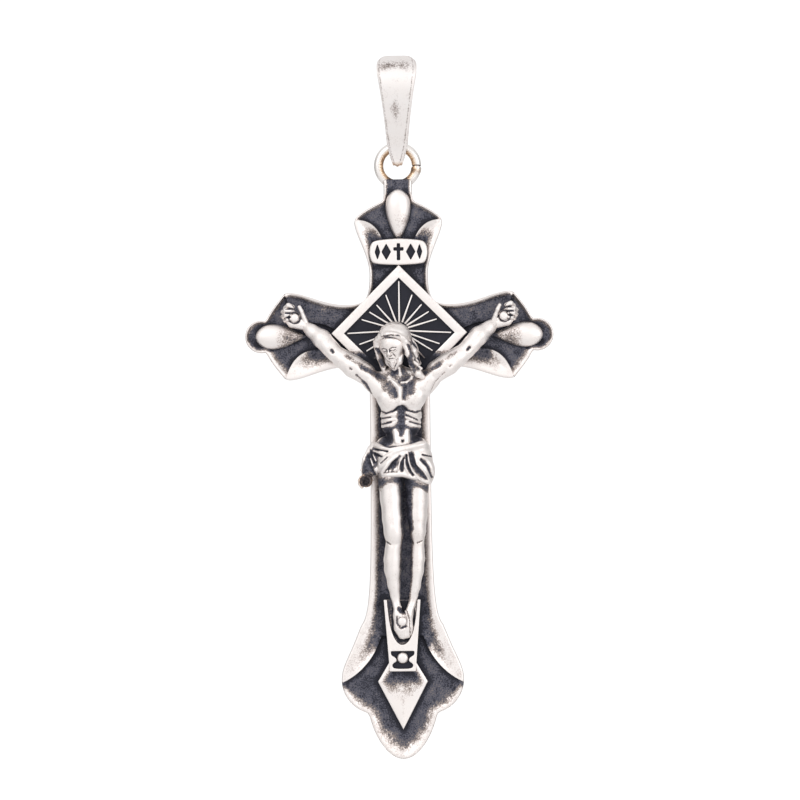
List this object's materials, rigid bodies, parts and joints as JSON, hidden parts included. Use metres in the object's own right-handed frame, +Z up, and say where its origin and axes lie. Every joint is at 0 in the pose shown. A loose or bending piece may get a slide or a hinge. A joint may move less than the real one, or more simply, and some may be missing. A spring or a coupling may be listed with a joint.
{
  "type": "crucifix pendant",
  "caption": "Silver crucifix pendant: a flared relief cross with a raised figure, hanging from a tapered bail by a jump ring.",
  "frame": {"origin": "the point inside the top of the bail where a chain carries the pendant", "axes": "+Z up, +X across the cross to the viewer's right, the front with the figure faces -Y"},
  "size_m": [0.0308, 0.0091, 0.0704],
  "materials": {
    "cast_silver": "tumbled satin sterling silver, blackened in the recesses",
    "polished_silver": "polished sterling silver"
  },
  "bodies": {
    "bail": {"bail": "polished_silver"},
    "ring": {"jump_ring": "polished_silver"},
    "cross": {"cross_body": "cast_silver", "drop_top": "cast_silver", "drop_left": "cast_silver", "drop_right": "cast_silver", "halo": "cast_silver", "titulus": "cast_silver", "kite_boss": "cast_silver", "footrest": "cast_silver", "corpus": "cast_silver", "nail_left_hand": "cast_silver", "nail_right_hand": "cast_silver", "nail_feet": "cast_silver", "rivet_footrest": "cast_silver"}
  },
  "joints": [
    {"name": "ring_swing", "type": "hinge", "parent": "bail", "child": "ring", "pos_m": [0, 0, -0.00843], "axis": [1, 0, 0], "range_deg": [-90, 90]},
    {"name": "cross_swing", "type": "hinge", "parent": "ring", "child": "cross", "pos_m": [0, 0, -0.01223], "axis": [1, 0, 0], "range_deg": [-30, 30]}
  ]
}
